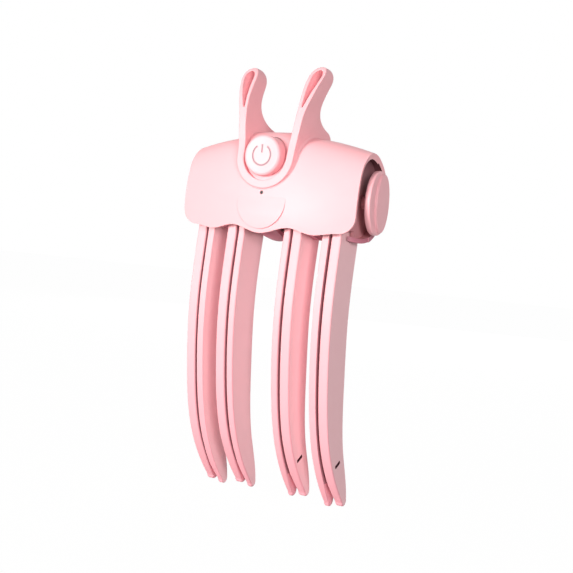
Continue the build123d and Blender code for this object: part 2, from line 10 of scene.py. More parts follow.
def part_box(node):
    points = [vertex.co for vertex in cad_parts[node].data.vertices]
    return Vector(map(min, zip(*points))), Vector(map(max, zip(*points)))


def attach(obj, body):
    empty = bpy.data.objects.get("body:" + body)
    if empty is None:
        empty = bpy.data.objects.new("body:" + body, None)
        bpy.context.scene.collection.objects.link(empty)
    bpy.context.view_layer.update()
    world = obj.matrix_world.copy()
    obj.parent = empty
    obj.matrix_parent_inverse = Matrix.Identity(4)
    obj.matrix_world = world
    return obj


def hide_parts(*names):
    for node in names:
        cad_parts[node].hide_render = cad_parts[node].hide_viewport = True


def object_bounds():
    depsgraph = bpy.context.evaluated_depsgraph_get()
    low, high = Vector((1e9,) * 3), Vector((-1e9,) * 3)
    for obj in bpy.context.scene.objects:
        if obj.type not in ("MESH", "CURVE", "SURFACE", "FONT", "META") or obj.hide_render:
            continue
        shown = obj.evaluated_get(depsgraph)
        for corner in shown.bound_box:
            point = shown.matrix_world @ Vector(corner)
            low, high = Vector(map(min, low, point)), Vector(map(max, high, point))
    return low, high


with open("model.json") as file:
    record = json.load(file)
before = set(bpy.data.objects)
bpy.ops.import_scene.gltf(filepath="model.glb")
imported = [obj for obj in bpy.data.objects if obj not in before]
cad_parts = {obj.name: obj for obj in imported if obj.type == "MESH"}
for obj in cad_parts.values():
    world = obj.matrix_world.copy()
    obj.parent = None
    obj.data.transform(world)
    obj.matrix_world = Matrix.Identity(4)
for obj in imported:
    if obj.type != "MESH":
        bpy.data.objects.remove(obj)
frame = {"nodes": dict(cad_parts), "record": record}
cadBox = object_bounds()

# Pieces are drawn in millimetres and moved into the CAD frame when they are done. x is 0 midway, y at the
# roots of the inner blades' front edges, and z at the lower edge of the front cover.
drawing = {"backY": 20.6, "restZ": 15.0, "perMetre": 1000.0}
placing = Matrix.Translation((0, -drawing["backY"], -drawing["restZ"]))
toFrame = Matrix.Scale(1 / drawing["perMetre"], 4) @ placing
onPlane = 0.01   # a point this close to a plane is on it
squareOn = 0.99  # a normal with this share of a direction faces it
edging = {"smoothTo": 35, "weight": 60, "roundFrom": 60, "rim": 3}  # angles, weight of flat faces, steps
bpy.ops.object.select_all(action="DESELECT")


# Drawing tools

def cubicThrough(points, startWay=None, endWay=None, count=200):
    # A smooth line through the points; the ways are the directions at its two ends.
    points = np.asarray(points, float)
    gaps = np.linalg.norm(np.diff(points, axis=0), axis=1)
    knots = np.concatenate([[0], np.cumsum(gaps)])
    slopes = np.diff(points, axis=0) / gaps[:, None]
    last = len(points) - 1
    matrix = np.zeros((last + 1, last + 1))
    right = np.zeros_like(points)
    for i in range(1, last):
        matrix[i, i - 1:i + 2] = gaps[i], 2 * (gaps[i - 1] + gaps[i]), gaps[i - 1]
        right[i] = 3 * (gaps[i] * slopes[i - 1] + gaps[i - 1] * slopes[i])
    for end, inner, way, slope in ((0, 1, startWay, slopes[0]), (last, last - 1, endWay, slopes[-1])):
        if way is None:
            matrix[end, end], matrix[end, inner] = 2, 1
            right[end] = 3 * slope
        else:
            matrix[end, end] = 1
            right[end] = np.asarray(way, float) / np.linalg.norm(way)
    ways = np.linalg.solve(matrix, right)
    at = np.linspace(0, knots[-1], count)
    k = np.clip(np.searchsorted(knots, at, side="right") - 1, 0, last - 1)
    h = gaps[k][:, None]
    t = ((at - knots[k]) / gaps[k])[:, None]
    return (points[k] * (1 + 2 * t) * (1 - t) ** 2 + ways[k] * h * t * (1 - t) ** 2
            + points[k + 1] * t * t * (3 - 2 * t) - ways[k + 1] * h * t * t * (1 - t))


def evenly(line, count, first=None):
    # The line cut into even steps; first is the length of the first and last step.
    line = np.asarray(line, float)
    run = np.concatenate([[0], np.cumsum(np.linalg.norm(np.diff(line, axis=0), axis=1))])
    if first is None:
        at = np.linspace(0, run[-1], count)
    else:
        at = np.concatenate([[0], np.linspace(first, run[-1] - first, count - 2), [run[-1]]])
    return np.stack([np.interp(at, run, line[:, k]) for k in range(line.shape[1])], 1)


def smoothStep(value, low, high):
    t = np.clip((value - low) / (high - low), 0, 1)
    return t * t * (3 - 2 * t)


def choose(piece, *others):
    # Selects the piece and the others, and makes the piece the active one.
    bpy.ops.object.select_all(action="DESELECT")
    for one in (*others, piece):
        one.select_set(True)
    bpy.context.view_layer.objects.active = piece


def primitive(kind, name, **size):
    # Adds a primitive at its size and place, and puts its place into its mesh.
    bpy.ops.object.select_all(action="DESELECT")
    getattr(bpy.ops.mesh, f"primitive_{kind}_add")(**size)
    piece = bpy.context.active_object
    piece.name = name
    bpy.ops.object.transform_apply(location=True, rotation=True, scale=True)
    return piece


def edit(piece):
    # Opens the piece in edit mode with all its faces selected.
    choose(piece)
    bpy.ops.object.mode_set(mode="EDIT")
    bpy.ops.mesh.select_mode(type="FACE")
    bpy.ops.mesh.select_all(action="SELECT")


def leave():
    bpy.ops.object.mode_set(mode="OBJECT")


def faceOutwards():
    bpy.ops.mesh.select_all(action="SELECT")
    bpy.ops.mesh.normals_make_consistent(inside=False)


def extrude(way):
    bpy.ops.mesh.extrude_region_move(TRANSFORM_OT_translate={"value": way})


def pickParts(kind, passes):
    # Selects the faces or the edges that pass.
    bpy.ops.mesh.select_mode(type=kind)
    bpy.ops.mesh.select_all(action="DESELECT")
    mesh = bmesh.from_edit_mesh(bpy.context.edit_object.data)
    for part in (mesh.faces if kind == "FACE" else mesh.edges):
        if passes(part):
            part.select_set(True)
    bmesh.update_edit_mesh(bpy.context.edit_object.data)


def pickFaces(test):
    # The test is put to the middle and the normal of each face.
    pickParts("FACE", lambda face: test(face.calc_center_median(), face.normal))


def pickEdges(test):
    # The test is put to the two ends of each edge.
    pickParts("EDGE", lambda line: test(line.verts[0].co, line.verts[1].co))


def modify(piece, kind, **settings):
    # Adds a modifier and applies it.
    choose(piece)
    bpy.ops.object.modifier_add(type=kind)
    modifier = piece.modifiers[-1]
    for name, value in settings.items():
        setattr(modifier, name, value)
    bpy.ops.object.modifier_apply(modifier=modifier.name)


def roundEdges(piece, width, degrees=edging["roundFrom"], segments=edging["rim"], **settings):
    # Rounds the edges that turn by more than the angle.
    modify(piece, "BEVEL", width=width, segments=segments, angle_limit=math.radians(degrees), **settings)


def cut(piece, *cutters):
    for cutter in cutters:
        modify(piece, "BOOLEAN", operation="DIFFERENCE", object=cutter, solver="EXACT")
        bpy.data.objects.remove(cutter, do_unlink=True)


def smooth(piece, degrees=edging["smoothTo"]):
    choose(piece)
    bpy.ops.object.shade_smooth_by_angle(angle=math.radians(degrees))
    modify(piece, "WEIGHTED_NORMAL", mode="FACE_AREA_WITH_ANGLE", weight=edging["weight"], keep_sharp=True)


def cylinderAlong(axis, name, radius, start, end, place, vertices=64):
    # A cylinder along x or y, from start to end, through the place in the other two coordinates.
    middle = (start + end) / 2
    turn = {"x": (0, math.pi / 2, 0), "y": (math.pi / 2, 0, 0)}[axis]
    centre = {"x": (middle, place[0], place[1]), "y": (place[0], middle, place[1])}[axis]
    return primitive("cylinder", name, vertices=vertices, radius=radius, depth=abs(end - start),
                     location=centre, rotation=turn)


def prism(name, outline, axis, low, high):
    # A flat outline made solid along one axis.
    piece = primitive("circle", name, vertices=len(outline), radius=1, fill_type="NGON")
    for corner, (a, b) in zip(piece.data.vertices, outline):
        corner.co = {"z": (a, b, low), "x": (low, a, b), "y": (a, low, b)}[axis]
    edit(piece)
    extrude({"z": (0, 0, high - low), "x": (high - low, 0, 0), "y": (0, high - low, 0)}[axis])
    faceOutwards()
    leave()
    return piece


def turnTowards(piece, way):
    # Gives a sheet one side, and turns it over if most of its area looks against the way.
    edit(piece)
    faceOutwards()
    mesh = bmesh.from_edit_mesh(piece.data)
    total = sum((face.normal * face.calc_area() for face in mesh.faces), Vector())
    if total.dot(way) < 0:
        bpy.ops.mesh.flip_normals()
    leave()


def copyPiece(piece, name, across, place=(0, 0, 0)):
    # Its own mesh, moved to its place and turned over to the left side where across is -1.
    twin = piece.copy()
    twin.data = piece.data.copy()
    twin.name = name
    bpy.context.scene.collection.objects.link(twin)
    twin.data.transform(Matrix.Scale(across, 4, (1, 0, 0)) @ Matrix.Translation(place))
    if across < 0:
        twin.data.flip_normals()
    return twin


def finishPiece(piece, body, slot, stands, *layers):
    # Moves the piece into the frame and gives it its finishes, its body and the nodes that it replaces.
    piece.data.transform(toFrame)
    last = len(layers) - 1
    chosen = [min(face.material_index, last) for face in piece.data.polygons]
    piece.data.materials.clear()
    for layer in layers:
        piece.data.materials.append(layer)
    piece.data.polygons.foreach_set("material_index", chosen)
    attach(piece, body)
    if stands:
        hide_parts(*stands)


# Materials

class Wire:
    # One output of a node. Sums, products and powers of wires add their Math nodes.
    def __init__(self, finish, socket):
        self.finish = finish
        self.socket = socket

    def maths(self, operation, first, second=0.0, limited=False):
        return self.finish.node("ShaderNodeMath", {"operation": operation, "use_clamp": limited},
                                {0: first, 1: second})

    def __add__(self, other):
        return self.maths("ADD", self, other)

    def __sub__(self, other):
        return self.maths("SUBTRACT", self, other)

    def __rsub__(self, other):
        return self.maths("SUBTRACT", other, self)

    def __mul__(self, other):
        return self.maths("MULTIPLY", self, other)

    def __pow__(self, other):
        return self.maths("POWER", self, other)

    __radd__, __rmul__ = __add__, __mul__

    def __abs__(self):
        return self.maths("ABSOLUTE", self)

    def under(self, limit):
        return self.maths("LESS_THAN", self, limit)

    def limited(self):
        return self.maths("ADD", self, limited=True)


class Finish:
    # A material under construction, or the world's own tree.
    def __init__(self, name, world=None):
        self.material = world or bpy.data.materials.new(name)
        self.material.use_nodes = True
        self.tree = self.material.node_tree
        self.tree.nodes.clear()

    def node(self, kind, settings=None, inputs=None, output=0):
        made = self.tree.nodes.new(kind)
        for name, value in (settings or {}).items():
            setattr(made, name, value)
        for name, value in (inputs or {}).items():
            if isinstance(value, Wire):
                self.tree.links.new(value.socket, made.inputs[name])
            else:
                made.inputs[name].default_value = value
        return Wire(self, made.outputs[output]) if len(made.outputs) else None

    def place(self):
        return self.node("ShaderNodeTexCoord", output=3)

    def millimetres(self):
        # x, y and z as the pieces are drawn.
        parts = self.node("ShaderNodeSeparateXYZ", None, {"Vector": self.place()}).socket.node.outputs
        shifts = (0.0, drawing["backY"], drawing["restZ"])
        return [Wire(self, part) * drawing["perMetre"] + shift for part, shift in zip(parts, shifts)]

    def spread(self, scale):
        return self.node("ShaderNodeMapping", None, {"Vector": self.place(), "Scale": scale})

    def noise(self, size, detail=3.0, roughness=0.5, stretch=(1, 1, 1)):
        # Noise with bumps of about the given size, in metres.
        return self.node("ShaderNodeTexNoise", None, {"Vector": self.spread([s / size for s in stretch]),
                                                      "Scale": 1.0, "Detail": detail, "Roughness": roughness})

    def colour(self, factor, first, second):
        return self.node("ShaderNodeMix", {"data_type": "RGBA"}, {0: factor, 6: first, 7: second}, output=2)

    def bump(self, height, distance, under=None):
        links = {"Height": height, "Distance": distance, "Strength": 1.0}
        if under is not None:
            links["Normal"] = under
        return self.node("ShaderNodeBump", None, links)

    def surface(self, **sockets):
        names = {"colour": "Base Color", "rough": "Roughness", "metal": "Metallic", "normal": "Normal",
                 "coat": "Coat Weight", "specular": "Specular IOR Level"}
        shader = self.node("ShaderNodeBsdfPrincipled", None,
                           {names[key]: value for key, value in sockets.items()})
        self.node("ShaderNodeOutputMaterial", None, {"Surface": shader})
        return self.material


def rgb(red, green, blue):
    # A colour as it is seen on screen, 0 to 255, as the linear numbers that a shader takes.
    parts = [c / 255 for c in (red, green, blue)]
    return [c / 12.92 if c <= 0.04045 else ((c + 0.055) / 1.055) ** 2.4 for c in parts] + [1.0]


def tinted(look, light, dark, deep, **others):
    # A look with other colours, and some other values.
    return dict(look, light=rgb(*light), dark=rgb(*dark), deep=rgb(*deep), **others)


def plasticColour(finish, look, stretch=(1.0, 1.0, 1.0)):
    # The colour with its faint clouds, and the flow lines that the polish follows too.
    clouds = finish.noise(look["cloudSize"], detail=2.0)
    flow = finish.noise(look["cloudSize"] * look["flowSize"], detail=4.0, roughness=0.6, stretch=stretch)
    colour = finish.colour(clouds, look["light"], look["dark"])
    return finish.colour((flow * look["flow"]).limited(), colour, look["deep"]), flow


def mouldedPlastic(name, look):
    # Faint clouds in the colour, a fine texture, uneven polish. Where the look has a shade, the colour
    # turns into it from the height lowZ to highZ.
    finish = Finish(name)
    colour, flow = plasticColour(finish, look, look["stretch"])
    if "shade" in look:
        height = finish.millimetres()[2] - look["lowZ"]
        share = (height * (1 / (look["highZ"] - look["lowZ"]))).limited()
        colour = finish.colour(share, colour, look["shade"])
    grain = finish.noise(look["grainSize"], detail=2.0, roughness=0.6)
    ripple = finish.noise(look["rippleSize"], detail=2.0)
    normal = finish.bump(ripple, look["rippleDepth"])
    normal = finish.bump(grain, look["grainDepth"], under=normal)
    rough = look["rough"] - look["roughSpread"] / 2 + flow * look["roughSpread"]
    return finish.surface(colour=colour, rough=rough, normal=normal, specular=look["specular"])


shellLook = tinted(
    {}, (250, 189, 195), (249, 184, 191), (244, 172, 181), cloudSize=0.014, flow=0.35, flowSize=0.35,
    stretch=(0.4, 1.0, 1.0), rough=0.42, roughSpread=0.08, specular=0.22, grainSize=0.00022,
    grainDepth=0.0000035, rippleSize=0.006, rippleDepth=0.00003)
buttonLook = dict(shellLook, rough=0.36, grainDepth=0.000002, specular=0.35)
# Painted shade: a darker pink for the recesses and the covers' inner walls, darkening further towards the
# top, where shade falls in the recess.
recessShadeLook = tinted(shellLook, (214, 150, 157), (206, 142, 149), (192, 128, 136), rough=0.5,
                    shade=rgb(128, 84, 90), lowZ=5.0, highZ=22.0)
blackLook = tinted(shellLook, (38, 38, 41), (33, 33, 36), (28, 28, 30), rough=0.42)
plasticLooks = {
    "satinPink": shellLook,
    # The blade pink turns deeper towards the tips, from z -15 mm down to -80 mm.
    "bladePink": tinted(shellLook, (249, 186, 193), (248, 182, 189), (243, 172, 181), rough=0.44,
                        shade=rgb(238, 168, 179), lowZ=-15.0, highZ=-80.0),
    # Painted light: a paler copy of the blade pink on the broad sides, undoing the deeper pink that light
    # bounced between the blades gives them.
    "bladeSide": tinted(shellLook, (250, 204, 210), (249, 200, 206), (245, 190, 197), rough=0.46),
    "knobPink": tinted(buttonLook, (246, 184, 191), (244, 179, 187), (238, 168, 178)),
    "recessPink": recessShadeLook,
    # Painted shade: the knob stem in a still darker pink, for the shade deep in the recess.
    "stemShade": dict(recessShadeLook, light=rgb(120, 80, 88), dark=rgb(112, 74, 82)),
    # Painted shade: a dark mauve on the flat clamp faces, for the shade in the narrow gap between the blades
    # of a pair.
    "clampMauve": tinted(shellLook, (196, 138, 148), (188, 130, 140), (176, 118, 128), rough=0.6),
    # Painted shade: the rear cover turns darker pink from z 6 mm down to 1.5 mm, on its underside, where
    # little light reaches.
    "rearPink": dict(shellLook, shade=rgb(182, 112, 128), lowZ=6.0, highZ=1.5),
    "slotShade": tinted(shellLook, (92, 52, 62), (84, 46, 56), (72, 38, 48), rough=0.6),
    "whiteNylon": tinted(shellLook, (236, 231, 224), (230, 224, 216), (222, 214, 204), rough=0.5),
    "blackPlastic": blackLook,
    "smokedGuide": dict(blackLook, rough=0.2),
}


def metalFinish(name, look):
    # Drawn or stamped metal: fine lines one way and faint stains.
    finish = Finish(name)
    lines = finish.noise(look["lineSize"], roughness=0.6, stretch=look["stretch"])
    stain = finish.noise(look["stainSize"])
    colour = finish.colour(stain, look["colour"], look["shade"])
    base = look["rough"] - (look["roughSpread"] + look["stainSpread"]) / 2
    rough = base + lines * look["roughSpread"] + stain * look["stainSpread"]
    return finish.surface(colour=colour, rough=rough, metal=1.0, normal=finish.bump(lines, look["depth"]))


steelLook = {"colour": rgb(200, 200, 204), "shade": rgb(176, 176, 182), "rough": 0.28, "roughSpread": 0.2,
             "lineSize": 0.0002, "stretch": (0.05, 1.0, 1.0), "depth": 0.000002, "stainSize": 0.004,
             "stainSpread": 0.08}
metalLooks = {
    "brightSteel": steelLook,
    "coatedPlate": dict(steelLook, colour=rgb(216, 188, 186), shade=rgb(200, 172, 172),
                        stretch=(1.0, 1.0, 0.04), rough=0.34),
    "plainBrass": dict(steelLook, colour=rgb(214, 178, 98), shade=rgb(190, 150, 78), rough=0.3),
}


def patternFinish(name, look):
    # Two colours, a polish and a relief that all follow one pattern.
    finish = Finish(name)
    if "size" in look:
        pattern = finish.noise(look["size"], look["detail"], stretch=look["stretch"])
    else:
        kind, settings, sockets = look["node"]
        pattern = finish.node(kind, settings, dict(sockets, Vector=finish.place()))
    ground = look["colour"]
    if "tracks" in look:
        spread = finish.spread(look["tracks"])
        ground = finish.node("ShaderNodeTexBrick", {"offset": look["offset"]}, dict(ground, Vector=spread))
    return finish.surface(colour=finish.colour(pattern * look["share"], ground, look["shade"]),
                          rough=look["rough"] + pattern * look["roughSpread"], coat=look["coat"],
                          normal=finish.bump(pattern, look["depth"]))


plainLook = {"detail": 3.0, "stretch": (1, 1, 1), "share": 1.0, "roughSpread": 0.1, "coat": 0.0}
patternLooks = {
    "solderMask": dict(plainLook, size=0.0008, share=0.3, rough=0.3, depth=0.000008, coat=0.2,
                       colour={"Color1": rgb(26, 104, 58), "Color2": rgb(22, 92, 52), "Scale": 1.0,
                               "Mortar": rgb(46, 132, 76), "Mortar Size": 0.08},
                       shade=rgb(12, 64, 34), tracks=(420, 420, 420), offset=0.37),  # faint copper tracks
    "amberFilm": dict(plainLook, colour=rgb(214, 138, 62), shade=rgb(168, 94, 36), rough=0.25,
                      roughSpread=0.15, depth=0.00001, node=("ShaderNodeTexWave", {
                          "bands_direction": "Z"}, {"Scale": 160.0, "Distortion": 0.6})),
    "shrinkWrap": dict(plainLook, size=0.0012, stretch=(0.1, 1.0, 1.0), colour=rgb(62, 110, 168),
                       shade=rgb(52, 94, 150), rough=0.2, roughSpread=0.15, depth=0.00004),  # long creases
    "padFoam": dict(plainLook, node=("ShaderNodeTexVoronoi", {}, {"Scale": 3000.0}), colour=rgb(40, 40, 43),
                    shade=rgb(62, 62, 66), rough=0.8, depth=0.00008),
    "clearEpoxy": dict(plainLook, size=0.0006, detail=2.0, colour=rgb(246, 244, 238),
                       shade=rgb(236, 232, 222), rough=0.12, depth=0.000004, coat=0.5),
}
coats = {}
for make, looks in ((mouldedPlastic, plasticLooks), (metalFinish, metalLooks), (patternFinish, patternLooks)):
    coats.update({name: make(name, look) for name, look in looks.items()})
slotCoats = {
    "pink_shell": "satinPink", "dark_pink": "recessPink", "white_nylon": "whiteNylon",
    "black_plastic": "blackPlastic", "steel": "brightSteel", "aluminium_plate": "coatedPlate",
    "brass_contact": "plainBrass", "green_board": "solderMask", "heater_film": "amberFilm",
    "cell_wrap": "shrinkWrap", "foam": "padFoam", "led_epoxy": "clearEpoxy",
}
for part in frame["record"]["subparts"]:
    node = frame["nodes"][part["node"]]
    node.data.materials.clear()
    node.data.materials.append(coats[slotCoats[part["material_slot"]]])
frame["nodes"]["light_guide"].data.materials[0] = coats["smokedGuide"]
print("materials done")


# Front cover

cover = {
    "halfLength": 29.5, "frontY": -3.4, "bow": 3.7, "bellyZ": 8.5, "chinBack": 0.5, "chinWay": (-0.12, 1),
    "backY": 20.7, "crownZ": 29.9, "crownDrop": 4.4, "floorZ": -1.1, "topY": 9.5, "seamY": 14.0,
    "flatLowZ": 6.0, "flatRise": 5.5, "flatHighZ": 18.0, "flatDrop": 3.0, "heelY": 9.5, "heelShorter": 2.0,
    "shoulder": [(0.6, 6.7), (2.0, 11.6), (4.2, 14.6)], "wall": 1.8, "rim": 0.45,
    "edge": [(-24.5, 0.9), (-16.8, 0.0), (-9.6, 1.5), (0, -0.55), (9.6, 1.5), (16.8, 0.0), (24.5, 0.9)],
    "corner": 5.0, "rows": 130, "endStep": 0.5, "slack": 0.02, "smooth": 40,
    "columnFrom": (0, 9.2, 11.8), "columnStep": (0.36, 0.17, 0.38), "cornerColumns": 18,
    "saddle": [(-2.3, 13), (-2.1, 19), (-1.5, 24.5), (0.6, 28.2), (4, 30), (9.5, 30.6), (14, 29.2), (16, 27)],
    "saddleHalf": 8.3, "saddleFade": 9.3, "saddleBlend": 0.6, "saddleSwell": 0.15, "middle": (9.0, 14.0),
    "boreZ": 22.2, "bore": 6.2, "boreFrom": -12, "boreTo": 3.4,
    "lightZ": 11.4, "pinhole": 0.55, "pinholeFrom": -8, "pinholeTo": 0.5,
    "bandIn": 7.2, "bandOut": 9.6, "filletLow": 0.3, "filletHigh": 0.75, "filletZ": (15.0, 25.0),
    "filletFade": (-1.6, -0.8), "innerFacing": 0.45, "endFacing": 0.6,
}
points = {"front": 240, "wall": 200, "over": 100, "heel": 80, "saddle": 300, "edge": 400, "arm": 500,
          "armOuter": 90}  # how finely the lines are drawn; wall and armOuter are the first parts of two
ear = {
    "outer": [(10.4, 30), (11.15, 35), (12.6, 40.2), (13.6, 44.2), (14.1, 47.2), (13.5, 49.2), (11.9, 50)],
    "inner": [(10.1, 49.4), (8.9, 47), (8.7, 43), (8.7, 38.5), (8.1, 31)],
    "hollowFoot": [(9.7, 36.9), (10.15, 36.9)],
    "hollowSide": [(11.2, 40), (12.3, 43.2), (13.05, 46), (13, 47.9), (11.9, 48.8), (10.6, 48.2),
                   (9.95, 45.5), (9.85, 41)],
    "front": [(-3.9, 12), (-3.8, 17), (-3.5, 21), (-2.85, 26), (-2.5, 31), (-1.95, 35.5), (-1.2, 38.6),
              (-0.3, 41.2), (0.9, 43.7), (2.3, 46.1), (4, 48.5)],
    "top": [(6.1, 50.2), (8, 49.2)],
    "back": [(8.9, 46.8), (8.1, 43.8), (7, 40.6), (6.9, 38), (8.1, 35.6), (11, 33.4), (14.2, 32.2),
             (16.6, 31.4), (18.2, 29.8), (19, 27)],
    "under": [(21, 22.2), (19, 22.8), (15, 26.6), (9.5, 28.2), (5, 26.4), (2.5, 23.5), (0.5, 20.5),
              (-0.6, 17), (-1.4, 8), (21, 8)],
    "levels": [(12.7, 30, 0.7), (30.2, 35, 0.3), (35.4, 48.8, 0.6), (48.9, 49.95, 0.15)],  # from, to, step
    "rim": 0.3, "rimAngle": 50, "deep": 20.0, "footZ": 27.0, "half": 20, "beyond": 2, "smooth": 40,
    "armPoints": 150, "turnPoints": 80, "hollowPoints": 60, "sidePoints": 900,
}


def section(x, whole=False):
    # The barrel cut across at x: from the chin up the front and over the top to the back. The whole goes on
    # down the flat back and along the underside to the chin.
    share = (x / cover["halfLength"]) ** 2
    front = cover["frontY"] + cover["bow"] * share
    chin = (front + cover["chinBack"], cover["floorZ"])
    crown = (cover["topY"], cover["crownZ"] - cover["crownDrop"] * share)
    high = (cover["backY"], cover["flatHighZ"] - cover["flatDrop"] * share)
    belly = cover["bellyZ"]
    rise = (crown[1] - belly) / (cover["crownZ"] - cover["crownDrop"] - belly)
    wall = [chin, (front, belly)] + [(front + dy, belly + dz * rise) for dy, dz in cover["shoulder"]]
    lines = [cubicThrough(wall + [crown], cover["chinWay"], (1, 0), points["front"]),
             cubicThrough([crown, high], (1, 0), (0, -1), points["over"])[1:]]
    if whole:
        low = (cover["backY"], cover["flatLowZ"] + cover["flatRise"] * share)
        heel = (cover["heelY"] - cover["heelShorter"] * share, cover["floorZ"])
        lines += [cubicThrough([low, heel], (0, -1), (-1, 0), points["heel"]), [chin]]
    return np.concatenate(lines)


saddleLine = cubicThrough(cover["saddle"], count=points["saddle"])
edgeLine = cubicThrough(cover["edge"], (1, 0), (1, 0), points["edge"])
armLine = cubicThrough([(cover["bandOut"], cover["boreZ"])] + ear["outer"] + ear["inner"]
                       + [(cover["bandIn"], cover["boreZ"])], (0, 1), (0, -1), points["arm"])
armOuter = armLine[:points["armOuter"]]


def lowerEdge(x):
    start = cover["halfLength"] - cover["corner"]
    if abs(x) <= start:
        return float(np.interp(x, edgeLine[:, 0], edgeLine[:, 1]))
    across = min(abs(x) - start, cover["corner"])
    return cover["edge"][0][1] + cover["corner"] - math.sqrt(cover["corner"] ** 2 - across ** 2)


def wallY(line, z):
    # How far forward the front wall of a cut stands at a height.
    wall = line[:points["wall"]]
    return float(np.interp(z, wall[:, 1], wall[:, 0]))


def polar(line):
    offset = line - np.array(cover["middle"])
    return np.arctan2(offset[:, 1], -offset[:, 0]), np.hypot(offset[:, 0], offset[:, 1])


def withSaddle(x, line):
    # The cut across the barrel with the saddle behind the button merged in.
    strength = 1 - smoothStep(abs(x), cover["saddleHalf"], cover["saddleFade"])
    if strength == 0:
        return line
    angle, reach = polar(line)
    saddleAngle, saddleReach = polar(saddleLine)
    other = np.interp(angle, saddleAngle, saddleReach, left=0, right=0)
    blend = cover["saddleBlend"]
    near = np.clip(blend - np.abs(reach - other), 0, None) / blend
    merged = np.maximum(reach, other) + near ** 2 * cover["saddleSwell"]
    reach = reach + strength * (merged - reach)
    middle = cover["middle"]
    return np.stack([middle[0] - reach * np.cos(angle), middle[1] + reach * np.sin(angle)], 1)


def coverProfile(x, count):
    # From the lower edge up and over to the seam.
    line = withSaddle(x, section(x))
    start = lowerEdge(x)
    keep = [p for p in line if p[1] > start + cover["slack"] and p[0] < cover["seamY"] - cover["slack"]]
    beyond = next(p for p in line if p[0] >= cover["seamY"])
    whole = [(wallY(line, start), start)] + keep + [(cover["seamY"], beyond[1])]
    return evenly(whole, count, cover["endStep"])


def filletLift(x, z):
    # How far the surface swells up to meet the outer side of the band.
    around = np.hypot(x, z - cover["boreZ"]) - cover["bandOut"]
    along = np.abs(x) - np.interp(z, armOuter[:, 1], armOuter[:, 0])
    distance = np.where(z < cover["boreZ"], around, along)
    growth = smoothStep(z, *cover["filletZ"])
    radius = cover["filletLow"] + (cover["filletHigh"] - cover["filletLow"]) * growth
    inside = np.clip(distance, 0, None)
    rise = radius - np.sqrt(np.clip(radius ** 2 - (radius - inside) ** 2, 0, None))
    return np.where(distance > radius, 0, rise) * smoothStep(distance, *cover["filletFade"])


def gridOver(name, columns, profile, rows):
    # A grid whose columns are laid along the profiles, one for each x.
    piece = primitive("grid", name, x_subdivisions=len(columns) - 1, y_subdivisions=rows - 1, size=1)
    lines = [profile(x, rows) for x in columns]
    for corner in piece.data.vertices:
        i = round((corner.co.x + 0.5) * (len(columns) - 1))
        j = round((corner.co.y + 0.5) * (rows - 1))
        corner.co = (columns[i], lines[i][j][0], lines[i][j][1])
    return piece


def coverColumns():
    # Closer together at the ends and beside the ear arms.
    start = cover["halfLength"] - cover["corner"]
    turn = np.linspace(0, math.pi / 2, cover["cornerColumns"])[:-2]
    half = []
    for low, high, step in zip(cover["columnFrom"], cover["columnFrom"][1:] + (start,), cover["columnStep"]):
        half += list(np.arange(low, high, step))
    half += [start + cover["corner"] * math.sin(t) for t in turn]
    half += [cover["halfLength"] - cover["rim"], cover["halfLength"]]
    half = sorted(set(round(float(v), 4) for v in half))
    return [-v for v in reversed(half[1:])] + half


def markInside(piece):
    # Marks the inner wall of a cover, which gets the second of its finishes, the recess pink with painted
    # shade.
    for face in piece.data.polygons:
        toAxis = Vector((0, *cover["middle"])) - face.center
        toAxis.x = 0
        inwards = face.normal.dot(toAxis.normalized()) > cover["innerFacing"]
        face.material_index = int(inwards and abs(face.normal.x) < cover["endFacing"])


def pinholeCutter():
    return cylinderAlong("y", "pinholeCutter", cover["pinhole"], cover["pinholeFrom"], cover["pinholeTo"],
                         (0, cover["lightZ"]), vertices=24)


def makeFrontCover():
    piece = gridOver("frontCover", coverColumns(), coverProfile, cover["rows"])
    turnTowards(piece, Vector((0, -1, 0)))
    place = np.array([v.co for v in piece.data.vertices])
    normals = np.array([v.normal for v in piece.data.vertices]) * (0, 1, 1)
    normals /= np.linalg.norm(normals, axis=1)[:, None]
    place += normals * filletLift(place[:, 0], place[:, 2])[:, None]
    piece.data.vertices.foreach_set("co", place.ravel())
    modify(piece, "SOLIDIFY", thickness=cover["wall"], offset=-1)
    roundEdges(piece, cover["rim"])
    bore = cylinderAlong("y", "boreCutter", cover["bore"], cover["boreFrom"], cover["boreTo"],
                         (0, cover["boreZ"]), vertices=128)
    cut(piece, bore, pinholeCutter())
    smooth(piece, cover["smooth"])
    markInside(piece)
    finishPiece(piece, "housing", "pink_shell", ["front_shell"], coats["satinPink"], coats["recessPink"])


makeFrontCover()
print("front cover done")


# Thumb pad under the light

pad = {
    "radius": 8.2, "y": -8, "z": 8.9, "proud": 0.55, "fadeZ": (4.0, 11.5), "sink": 0.04, "wall": 1.0,
    "firstRing": 0.25, "rings": 14, "middle": 0.8, "rim": 0.13, "smooth": 50,
}


def makeThumbPad():
    piece = primitive("circle", "thumbPad", vertices=128, radius=pad["radius"], fill_type="NGON",
                      location=(0, pad["y"], pad["z"]), rotation=(math.pi / 2, 0, 0))
    edit(piece)
    bpy.ops.mesh.inset(thickness=pad["firstRing"])
    for ring in range(pad["rings"]):
        bpy.ops.mesh.inset(thickness=(pad["radius"] - pad["middle"]) / pad["rings"])
    leave()
    for corner in piece.data.vertices:
        x, z = corner.co.x, corner.co.z
        proud = pad["proud"] * (1 - float(smoothStep(z, *pad["fadeZ"]))) - pad["sink"]
        corner.co.y = wallY(section(x), z) - proud
    turnTowards(piece, Vector((0, -1, 0)))
    modify(piece, "SOLIDIFY", thickness=pad["wall"], offset=-1)
    roundEdges(piece, pad["rim"])
    cut(piece, pinholeCutter())
    smooth(piece, pad["smooth"])
    finishPiece(piece, "housing", "pink_shell", [], coats["satinPink"])


makeThumbPad()
print("thumb pad done")


# Blades

